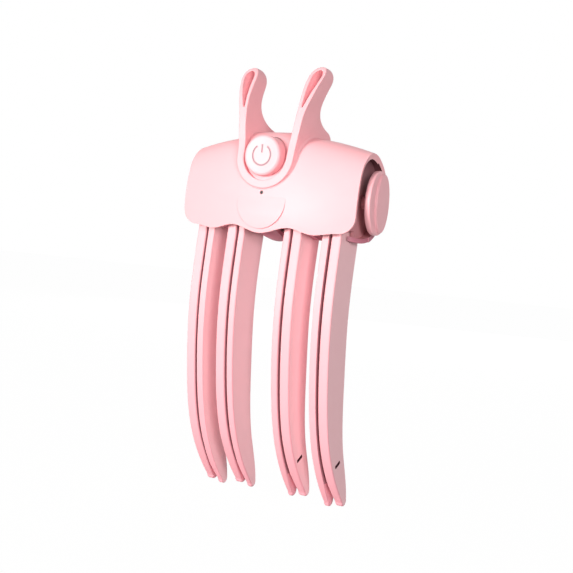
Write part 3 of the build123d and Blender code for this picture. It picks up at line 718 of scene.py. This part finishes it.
blade = {
    "front": [(0, 0), (-1.6, 0.258), (0.1, 0.528), (5.9, 0.786), (17.7, 0.984)],  # y, share of the length
    "back": [(20.9, 0.9755), (15.5, 0.786), (11.7, 0.528), (10.2, 0.258), (12, 0)],
    "frontWays": ((-0.1, -1), (1, -1)), "backWays": ((-0.15, 1), (0.12, 1)), "linePoints": 400,
    "downPoints": 72, "tipPoints": 14, "upPoints": 66,
    "tipY": 19.9, "rootZ": 6.8, "round": 0.5, "roundAngle": 50, "taperLength": 9.0, "taperDepth": 0.8,
    "lip": 1.0, "gripExtra": 0.8, "hot": 3.1, "grip": 2.2, "gap": 0.8, "inset": 0.1, "flat": 0.9995,
    "recessInset": 2.4, "recessTop": -6.0, "recessLow": -60.0, "recessDeep": 1.22, "recessEach": 6,
    "recessAhead": -1,
    "slotY": 12.2, "slotZ": -67.6, "slotLong": 3.3, "slotWide": 1.1, "slotDeep": 0.8, "slotLean": 28.0,
    "slotRound": 0.28, "slotSlack": 0.05, "slotRim": 0.02, "outerFrom": 15,
    "places": {"inner": (9.3, 0.0, 80.2), "outer": (21.25, 1.9, 81.4)},  # gap, setback and length
    "looks": ("bladePink", "clampMauve", "slotShade", "bladeSide"),
}
marks = {"clamp": 1, "slot": 2, "side": 3}  # places in its looks
slotMiddle = (blade["hot"], blade["slotY"] - blade["inset"], blade["slotZ"])
slotLean = math.radians(blade["slotLean"])


def arcThrough(a, b, c, count):
    # The circle's arc from a to c through b.
    a, b, c = [complex(*p) for p in (a, b, c)]
    ratio = (c - a) / (b - a)
    centre = a + (b - a) * (ratio - abs(ratio) ** 2) / (2j * ratio.imag)
    half, whole = [cmath.phase((p - centre) / (a - centre)) % (2 * math.pi) for p in (b, c)]
    turn = whole if half < whole else whole - 2 * math.pi
    arc = [centre + (a - centre) * cmath.rect(1, turn * t) for t in np.linspace(0, 1, count)]
    return [(p.real, p.imag) for p in arc]


def bladeEdges(length, extra=0.0):
    # The points of the front and back lines; extra moves only their lower ends.
    front = [(y, -share * length) for y, share in blade["front"]]
    back = [(y, -share * length) for y, share in blade["back"]]
    front[-1] = (front[-1][0], front[-1][1] - extra)
    back[0] = (back[0][0], back[0][1] - extra)
    return front, back


def bladeLines(front, back):
    return (cubicThrough(front, *blade["frontWays"], blade["linePoints"]),
            cubicThrough(back, *blade["backWays"], blade["linePoints"]))


def bladeOutline(length, extra):
    front, back = bladeEdges(length, extra)
    frontLine, backLine = bladeLines(front, back)
    down = evenly(frontLine, blade["downPoints"])
    turn = arcThrough(front[-1], (blade["tipY"], -length - extra), back[0], blade["tipPoints"])
    up = evenly(backLine, blade["upPoints"])
    line = [(0, blade["rootZ"])] + list(map(tuple, down)) + turn[1:-1] + list(map(tuple, up))
    return line + [(back[-1][0], blade["rootZ"])]


def makeBlade(name, thick, length, extra, way):
    # Drawn with its clamp face at x = 0 and its body on the way's side of it.
    piece = prism(name, bladeOutline(length, extra), "x", 0, way * thick)
    start = -length - extra - blade["lip"] + blade["taperLength"]
    slope = blade["taperDepth"] / blade["taperLength"]
    edit(piece)
    bpy.ops.mesh.bisect(plane_co=(0, 0, start), plane_no=(-way, 0, -slope), use_fill=True, clear_outer=True)
    faceOutwards()
    leave()
    roundEdges(piece, blade["round"], blade["roundAngle"], segments=4)
    # Clamp faces get the painted shade of the gap, and the broad sides the paler painted-light pink.
    for face in piece.data.polygons:
        if -way * face.normal.x > blade["flat"]:
            face.material_index = marks["clamp"]
        elif way * face.normal.x > blade["flat"]:
            face.material_index = marks["side"]
    return piece


def recessCutter(length):
    # The sunk field that holds the contact plate.
    low, top = blade["recessLow"], blade["recessTop"]
    outline = []
    inset = blade["recessInset"]
    for line, ends in zip(bladeLines(*bladeEdges(length)), ((top, low), (low, top))):
        line = line + np.array([inset, 0])
        rising = line[np.argsort(line[:, 1])]
        first, last = [(float(np.interp(z, rising[:, 1], rising[:, 0])), z) for z in ends]
        outline += [first] + [tuple(p) for p in line if low < p[1] < top][::blade["recessEach"]] + [last]
        inset = -inset
    return prism("recessCutter", outline, "x", blade["recessAhead"], blade["recessDeep"])


def inSlot(face):
    # True for the walls and the bottom of the slanted slot.
    offset = Matrix.Rotation(-slotLean, 3, "X") @ (face.center - Vector(slotMiddle))
    slack = blade["slotSlack"]
    near = abs(offset.y) < blade["slotLong"] / 2 + slack and abs(offset.z) < blade["slotWide"] / 2 + slack
    return near and -blade["slotDeep"] - slack < offset.x < -blade["slotRim"]


def makeHeatedBlade(length):
    piece = makeBlade("heatedBlade", blade["hot"], length, 0.0, 1)
    slot = primitive("cube", "slotCutter", size=1, location=slotMiddle, rotation=(slotLean, 0, 0),
                     scale=(2 * blade["slotDeep"], blade["slotLong"], blade["slotWide"]))
    roundEdges(slot, blade["slotRound"], segments=4)
    cut(piece, recessCutter(length), slot)
    for face in piece.data.polygons:
        if inSlot(face):
            face.material_index = marks["slot"]
    return piece


def makeBlades():
    masters = {}
    for pair, (gapX, setback, length) in blade["places"].items():
        masters[pair, True] = makeHeatedBlade(length)
        masters[pair, False] = makeBlade("grippingBlade", blade["grip"], length, blade["gripExtra"], -1)
    for node in sorted(frame["nodes"]):
        if not node.startswith(("heated_blade", "gripping_blade")):
            continue
        low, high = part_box(node)
        middleX = (low.x + high.x) / 2 * drawing["perMetre"]
        across = 1 if middleX > 0 else -1
        pair = "outer" if abs(middleX) > blade["outerFrom"] else "inner"
        gapX, setback, length = blade["places"][pair]
        heated = node.startswith("heated")
        shift = blade["gap"] / 2 if heated else -blade["gap"] / 2
        name = ("heatedBlade_" if heated else "grippingBlade_") + node[-1]
        copy = copyPiece(masters[pair, heated], name, across, (gapX + shift, blade["inset"] + setback, 0))
        smooth(copy)
        body = "housing" if heated else ("right_slide" if across > 0 else "left_slide")
        finishPiece(copy, body, "pink_shell", [node], *(coats[look] for look in blade["looks"]))
    for master in masters.values():
        bpy.data.objects.remove(master, do_unlink=True)


# Rear cover

rear = {
    "half": 29.45, "rows": 150, "columns": 110, "endColumn": 0.4, "frontY": 0.35, "seamGap": 0.05,
    "wall": 1.3, "rim": 0.3, "rimAngle": 55, "smooth": 40, "endStep": 0.5,
    "rampY": 9.0, "rampRise": 2.2, "rampCurve": 1.7, "keelHalf": 4.6, "keelY": 9.5, "keelLong": 7.5,
    "keelDeep": 1.25, "keelCurve": 1.5, "underZ": (2.0, 8.0),
    "corner": [(24.8, 5.0), (26.2, 6.0), (27.4, 7.6), (28.4, 9.4), (29.0, 11.0)], "cornerPoints": 24,
    "cornerEnd": (31, -3), "cornerZ": (-4, 6.0),
    "travel": 3.0, "room": 0.4, "windowDeep": 12.0, "windowHigh": 9,
    "portY": 20.5, "portZ": 11.6, "portHalf": 4.65, "portHigh": 1.8, "portDeep": 8, "portRound": 0.98,
    "screwX": 22.0, "screwZ": 20.6, "seat": 1.6, "seatFrom": 17.6, "seatTo": 26,
}


def rearProfile(x, count):
    line = withSaddle(x, section(x, True))
    start = next(i for i in range(len(line)) if line[i][0] > cover["seamY"] + rear["seamGap"])
    keep = [p for p in line[start:] if p[0] > rear["frontY"]]
    line = evenly(keep + [(rear["frontY"], cover["floorZ"])], count, rear["endStep"])
    y, z = line[:, 0], line[:, 1]
    low = 1 - smoothStep(z, *rear["underZ"])
    ramp = np.clip((rear["rampY"] - y) / (rear["rampY"] - rear["frontY"]), 0, 1)
    across = max(0.0, 1 - (x / rear["keelHalf"]) ** 2) ** rear["keelCurve"]
    along = np.clip(1 - ((y - rear["keelY"]) / rear["keelLong"]) ** 2, 0, None) ** rear["keelCurve"]
    line[:, 1] = z + rear["rampRise"] * ramp ** rear["rampCurve"] - rear["keelDeep"] * across * along * low
    return line


def windowCutter(side, gapX, setback):
    # Room for a pair of blades, open to the front.
    x0 = gapX - blade["gap"] / 2 - blade["grip"] - rear["travel"] - rear["room"]
    x1 = gapX + blade["gap"] / 2 + blade["hot"] + rear["room"]
    y0 = -rear["windowDeep"]
    y1 = blade["inset"] + setback + rear["windowDeep"] + rear["room"]
    return primitive("cube", "windowCutter", size=1, location=(side * (x0 + x1) / 2, (y0 + y1) / 2, 0),
                     scale=(x1 - x0, y1 - y0, rear["windowHigh"]))


def makeRearCover():
    inner = rear["half"] - rear["endColumn"]
    columns = np.concatenate([[-rear["half"]], np.linspace(-inner, inner, rear["columns"]), [rear["half"]]])
    piece = gridOver("rearCover", [float(x) for x in columns], rearProfile, rear["rows"])
    turnTowards(piece, Vector((0, 1, 0)))
    modify(piece, "SOLIDIFY", thickness=rear["wall"], offset=-1)
    corners = []
    cutters = []
    turn = evenly(cubicThrough(rear["corner"], count=points["over"]), rear["cornerPoints"])
    endX, endY = rear["cornerEnd"]
    corner = [(rear["corner"][0][0], endY)] + [tuple(p) for p in turn]
    corner += [(endX, rear["corner"][-1][1]), (endX, endY)]
    for side in (-1, 1):
        corners.append(prism("cornerCutter", [(side * x, y) for x, y in corner], "z", *rear["cornerZ"]))
        cutters += [windowCutter(side, gapX, setback) for gapX, setback, _ in blade["places"].values()]
        cutters.append(cylinderAlong("y", "screwCutter", rear["seat"], rear["seatFrom"], rear["seatTo"],
                                     (side * rear["screwX"], rear["screwZ"]), vertices=40))
    port = primitive("cube", "portCutter", size=1, location=(0, rear["portY"], rear["portZ"]),
                     scale=(2 * rear["portHalf"], rear["portDeep"], 2 * rear["portHigh"]))
    roundEdges(port, rear["portHigh"] * rear["portRound"], segments=8)
    cut(piece, *corners)
    roundEdges(piece, rear["rim"], rear["rimAngle"])
    cut(piece, *cutters, port)
    smooth(piece, rear["smooth"])
    markInside(piece)
    finishPiece(piece, "housing", "pink_shell", ["rear_shell"], coats["rearPink"], coats["recessPink"])


makeRearCover()
print("rear cover done")
makeBlades()
print("blades done")


# Ear band, with its measures beside the cover's, which swells up to meet it

def halfRing(radius, way):
    # The lower half of a ring round the button, from the way's side to the other.
    turn = np.linspace(0, math.pi, ear["turnPoints"])[1:-1]
    return [(way * radius * math.cos(t), cover["boreZ"] - radius * math.sin(t)) for t in turn]


def bandOutline():
    # The U round the button with both arms and ears, seen from the front.
    arm = [tuple(p) for p in evenly(armLine, ear["armPoints"])]
    other = [(-x, z) for x, z in arm[::-1]]
    return arm + halfRing(cover["bandIn"], 1) + other + halfRing(cover["bandOut"], -1)


def makeEarBand():
    # The outline is given its depth and its round rims first, then cut into levels and leaned back.
    deep = ear["deep"]
    piece = prism("earBand", bandOutline(), "y", 0, deep)
    foot = ear["hollowFoot"]
    hollow = cubicThrough([foot[1]] + ear["hollowSide"] + [foot[0]], count=points["saddle"])
    hollow = evenly(hollow, ear["hollowPoints"])
    for across in (-1, 1):
        outline = [(across * x, z) for x, z in hollow]
        cut(piece, prism("hollowCutter", outline, "y", -ear["beyond"], deep + ear["beyond"]))
    roundEdges(piece, ear["rim"], ear["rimAngle"], use_clamp_overlap=False)
    edit(piece)
    for z in np.concatenate([np.arange(*level) for level in ear["levels"]]):
        bpy.ops.mesh.select_all(action="SELECT")
        bpy.ops.mesh.bisect(plane_co=(0, 0, float(z)), plane_no=(0, 0, 1))
    leave()
    line = cubicThrough(ear["front"] + ear["top"] + ear["back"], count=ear["sidePoints"])
    peak = int(np.argmax(line[:, 1]))
    rising, falling = line[:peak + 1], line[peak:][::-1]
    for corner in piece.data.vertices:
        y, z = corner.co.y, corner.co.z
        if y < deep / 2:
            corner.co.y = y + float(np.interp(z, rising[:, 1], rising[:, 0]))
        else:
            corner.co.y = y - deep + float(np.interp(max(z, ear["footZ"]), falling[:, 1], falling[:, 0]))
    cut(piece, prism("underForm", ear["under"], "x", -ear["half"], ear["half"]))
    smooth(piece, ear["smooth"])
    finishPiece(piece, "housing", "pink_shell", ["ear_band"], coats["satinPink"])


makeEarBand()
print("ear band done")


# Power button

button = {
    "z": 22.2, "radius": 6.05, "faceY": -5.3, "backY": 4.6, "round": 0.9, "dish": 0.12, "dishRadius": 5,
    "dishDeep": 0.5, "faceRings": (4.6, 4.0), "ring": 3.0, "stroke": 0.5, "gapHalf": 33.0, "barLow": 0.7,
    "barHigh": 3.15, "deep": 0.13, "ink": rgb(172, 140, 148), "inkSpread": 0.02, "inkDeep": 0.6,
    "flowRough": 0.06, "inkRough": 0.2,
}
ringLow, ringHigh = [button["ring"] + way * button["stroke"] / 2 for way in (-1, 1)]
barMiddle = (button["barLow"] + button["barHigh"]) / 2


def symbolFinish():
    # The button's plastic, with grey ink in the engraved ring and bar.
    look = buttonLook
    finish = Finish("buttonPinkWithInk")
    x, y, z = finish.millimetres()
    z = z - button["z"]
    half = button["stroke"] / 2 + button["inkSpread"]
    barHalf = (button["barHigh"] - button["barLow"]) / 2 + button["inkSpread"]
    opening = abs(x) - z * math.tan(math.radians(button["gapHalf"]))
    ring = abs((x * x + z * z) ** 0.5 - button["ring"]).under(half) * (1 - opening.under(0.0))
    bar = abs(x).under(half) * abs(z - barMiddle).under(barHalf)
    ink = ((ring + bar) * (y - button["faceY"]).under(button["inkDeep"])).limited()
    colour, flow = plasticColour(finish, look)
    colour = finish.colour(ink, colour, button["ink"])
    grain = finish.noise(look["grainSize"], detail=2.0, roughness=0.6)
    rough = look["rough"] + flow * button["flowRough"] + ink * button["inkRough"]
    return finish.surface(colour=colour, rough=rough, normal=finish.bump(grain, look["grainDepth"]),
                          specular=look["specular"])


def onFace(p):
    return abs(p.y - button["faceY"]) < onPlane


def inRing(p, n):
    x, z = p.x, p.z - button["z"]
    opening = abs(math.degrees(math.atan2(x, z))) < button["gapHalf"]
    return onFace(p) and ringLow < math.hypot(x, z) < ringHigh and not opening


def makePowerButton():
    piece = cylinderAlong("y", "powerButton", button["radius"], button["faceY"], button["backY"],
                          (0, button["z"]), vertices=120)
    edit(piece)
    pickEdges(lambda a, b: onFace(a) and onFace(b))
    bpy.ops.mesh.bevel(offset=button["round"], segments=7)
    pickFaces(lambda p, n: onFace(p) and n.y < -squareOn)
    reach = button["radius"] - button["round"]
    for ring in (*button["faceRings"], ringHigh, ringLow):
        bpy.ops.mesh.inset(thickness=reach - ring)
        reach = ring
    pickFaces(inRing)
    extrude((0, button["deep"], 0))
    leave()
    place = (0, button["faceY"], button["z"] + barMiddle)
    cut(piece, primitive("cube", "barCutter", size=1, location=place,
                         scale=(button["stroke"], 2 * button["deep"], button["barHigh"] - button["barLow"])))
    for corner in piece.data.vertices:
        reach = math.hypot(corner.co.x, corner.co.z - button["z"])
        if corner.co.y < button["faceY"] + button["dishDeep"] and reach < button["dishRadius"]:
            corner.co.y += button["dish"] * (1 - (reach / button["dishRadius"]) ** 2)
    smooth(piece)
    finishPiece(piece, "button", "pink_shell", ["power_button"], symbolFinish())


makePowerButton()
print("power button done")


# End knobs

knob = {
    "y": 11.0, "z": 11.1, "backX": 29.9, "thick": 1.9, "halfDeep": 6.9, "halfHigh": 9.45, "round": 0.5,
    "faceY": 12.1, "faceDeep": 4.5, "faceHigh": 8.7, "raise": 0.7, "foot": 0.2, "footLimit": 1.01,
    "dome": 0.14, "rim": 0.985, "rings": 6, "ringShare": 0.75,
    "stem": 1.9, "stemIn": 21.0, "stemLap": 0.1, "bore": 1.1, "boreIn": 20.0, "boreEnd": 30.5,
}


def isRim(p):
    reach = math.hypot((p.y - knob["y"]) / knob["halfDeep"], (p.z - knob["z"]) / knob["halfHigh"])
    return reach > knob["rim"]


def footReach(p):
    return math.hypot((p.y - knob["faceY"]) / knob["faceDeep"], (p.z - knob["z"]) / knob["faceHigh"])


def makeKnob():
    discX = knob["backX"] + knob["thick"]
    raised = discX + knob["raise"]
    middle = (knob["y"], knob["z"])
    piece = primitive("cylinder", "endKnob", vertices=120, radius=1, depth=knob["thick"],
                      location=((knob["backX"] + discX) / 2, *middle), rotation=(0, math.pi / 2, 0),
                      scale=(knob["halfHigh"], knob["halfDeep"], 1))
    shareY = knob["faceDeep"] / knob["halfDeep"]
    pivotY = (knob["faceY"] - shareY * knob["y"]) / (1 - shareY)

    def atFoot(p):
        return abs(p.x - discX) < onPlane and footReach(p) < knob["footLimit"]

    edit(piece)
    pickFaces(lambda p, n: n.x > squareOn)
    extrude((0, 0, 0))
    bpy.ops.transform.resize(value=(1, shareY, knob["faceHigh"] / knob["halfHigh"]),
                             center_override=(discX, pivotY, knob["z"]))
    extrude((knob["raise"], 0, 0))
    pickEdges(lambda a, b: abs(a.x - b.x) < onPlane and (a.x > raised - onPlane or (isRim(a) and isRim(b))))
    bpy.ops.mesh.bevel(offset=knob["round"], segments=5)
    pickEdges(lambda a, b: atFoot(a) and atFoot(b))
    bpy.ops.mesh.bevel(offset=knob["foot"], segments=3)
    pickFaces(lambda p, n: n.x > squareOn and p.x > raised - onPlane)
    for ring in range(knob["rings"]):
        extrude((0, 0, 0))
        bpy.ops.transform.resize(value=(1, knob["ringShare"], knob["ringShare"]),
                                 center_override=(raised, knob["faceY"], knob["z"]))
    leave()
    for corner in piece.data.vertices:
        if corner.co.x > raised - onPlane:
            corner.co.x -= knob["dome"] * min(footReach(corner.co), 1) ** 2
    stemEnd = knob["backX"] + knob["stemLap"]
    stem = cylinderAlong("x", "knobStem", knob["stem"], knob["stemIn"], stemEnd, middle, vertices=48)
    for face in stem.data.polygons:
        face.material_index = 1
    for part in (piece, stem):
        cut(part, cylinderAlong("x", "rodBore", knob["bore"], knob["boreIn"], knob["boreEnd"], middle,
                                vertices=48))
    choose(piece, stem)
    bpy.ops.object.join()
    return piece


def makeKnobs():
    master = makeKnob()
    for across, side in ((-1, "left"), (1, "right")):
        piece = copyPiece(master, side + "Knob", across)
        smooth(piece)
        finishPiece(piece, side + "_slide", "pink_shell", [side + "_end_knob"], coats["knobPink"],
                    coats["stemShade"])
    bpy.data.objects.remove(master, do_unlink=True)


makeKnobs()
print("knobs done")


# End plates, the walls behind the knobs, in the recess pink with painted shade

plate = {"inX": 25.2, "outX": 26.6, "inset": 1.35, "lowY": 7.0, "lowZ": 2.3, "round": 0.2,
         "stemRoom": 0.05, "points": 181, "holeFrom": 20, "holeTo": 30}


def makeEndPlates():
    middle = (plate["inX"] + plate["outX"]) / 2
    line = section(middle, True)
    line = evenly(np.vstack([line, line[:1]]), plate["points"])[:-1]
    ways = np.roll(line, -1, 0) - np.roll(line, 1, 0)
    ways /= np.linalg.norm(ways, axis=1)[:, None]
    line = line + plate["inset"] * np.stack([ways[:, 1], -ways[:, 0]], 1)
    line[:, 1] = np.where(line[:, 0] < plate["lowY"], np.maximum(line[:, 1], plate["lowZ"]), line[:, 1])
    for across, side in ((-1, "left"), (1, "right")):
        low = plate["inX"] if across > 0 else -plate["outX"]
        high = low + plate["outX"] - plate["inX"]
        piece = prism(side + "EndPlate", [tuple(p) for p in line], "x", low, high)
        roundEdges(piece, plate["round"], segments=2)
        start, end = across * plate["holeFrom"], across * plate["holeTo"]
        radius = knob["stem"] + plate["stemRoom"]
        cut(piece, cylinderAlong("x", "stemHole", radius, start, end, (knob["y"], knob["z"])))
        smooth(piece)
        finishPiece(piece, "housing", "dark_pink", [side + "_end_plate"], coats["recessPink"])


makeEndPlates()
print("end plates done")


# Floor, light and camera

lamps = {
    "keyLamp": {"place": (-0.32, -0.94, 0.08), "size": 0.28, "energy": 10.1, "color": (1.0, 0.97, 0.92)},
    "fillLamp": {"place": (0.70, -0.68, 0.12), "size": 0.4, "energy": 5.4, "color": (1.0, 0.99, 0.97)},
    "backLamp": {"place": (-0.35, 1.0, 0.04), "size": 0.5, "energy": 10.0, "color": (1.0, 0.98, 0.95),
                 "shines": False},  # left out of reflections
}
studio = {
    "target": (0, 0, -0.02), "ambient": 0.17, "white": (1, 1, 1, 1), "floorSize": 6.0, "floorGap": 0.0004,
    "floorGlow": 0.97, "glowPower": 1.018, "floorGrey": 0.5, "dust": 0.02, "dustSize": 0.05,
}
view = {"place": (0.15219, -0.28067, -0.02252), "azimuth": 28.76, "elevation": 1.547, "roll": 5.27,
        "lens": 63.46, "sensor": 36.0, "nearest": 0.01}


def seenFactor(finish):
    # 1 where the camera, a reflection or a clear piece sees the surface, 0 where it only gives light.
    rays = finish.node("ShaderNodeLightPath").socket.node.outputs
    kinds = ("Camera", "Glossy", "Transmission")
    camera, glossy, clear = [Wire(finish, rays[f"Is {kind} Ray"]) for kind in kinds]
    return (camera + glossy + clear).limited()


def makeWorld():
    world = bpy.data.worlds.new("studioWhite")
    bpy.context.scene.world = world
    finish = Finish("studioWhite", world)
    light, seen = [finish.node("ShaderNodeBackground", None, {"Color": studio["white"], "Strength": strength})
                   for strength in (studio["ambient"], 1.0)]
    mixed = finish.node("ShaderNodeMixShader", None, {0: seenFactor(finish), 1: light, 2: seen})
    finish.node("ShaderNodeOutputWorld", None, {"Surface": mixed})


def makeFloor():
    floor = primitive("plane", "studioFloor", size=studio["floorSize"],
                      location=(0, 0, cadBox[0][2] - studio["floorGap"]))
    finish = Finish("paleFloor")
    dust = finish.noise(studio["dustSize"])
    pale, darker = [[grey] * 3 + [1] for grey in (studio["floorGrey"], studio["floorGrey"] - studio["dust"])]
    plain = finish.node("ShaderNodeBsdfDiffuse", None, {"Color": finish.colour(dust, pale, darker)})
    glow = finish.node("ShaderNodeEmission", None, {"Strength": studio["glowPower"]})
    share = seenFactor(finish) * studio["floorGlow"]
    mixed = finish.node("ShaderNodeMixShader", None, {0: share, 1: plain, 2: glow})
    finish.node("ShaderNodeOutputMaterial", None, {"Surface": mixed})
    floor.data.materials.append(finish.material)


def makeLamp(name, place, shines=True, **settings):
    bpy.ops.object.light_add(type="AREA", location=place)
    lamp = bpy.context.active_object
    lamp.name = name
    lamp.data.shape = "DISK"
    for setting, value in settings.items():
        setattr(lamp.data, setting, value)
    lamp.visible_glossy = shines
    lamp.rotation_euler = (Vector(place) - Vector(studio["target"])).to_track_quat("Z", "Y").to_euler()


def makeCamera():
    bpy.ops.object.camera_add(location=view["place"])
    camera = bpy.context.active_object
    camera.name = "photoView"
    turn, tilt = math.radians(view["azimuth"]), math.radians(view["elevation"])
    back = Vector((math.sin(turn) * math.cos(tilt), -math.cos(turn) * math.cos(tilt), math.sin(tilt)))
    roll = Quaternion((0, 0, 1), math.radians(view["roll"]))
    camera.rotation_euler = (back.to_track_quat("Z", "Y") @ roll).to_euler()
    camera.data.lens = view["lens"]
    camera.data.sensor_width = view["sensor"]
    camera.data.clip_start = view["nearest"]
    bpy.context.scene.camera = camera


makeWorld()
makeFloor()
for name, look in lamps.items():
    makeLamp(name, **look)
makeCamera()
bpy.context.scene.view_settings.view_transform = "Standard"
print("studio done")
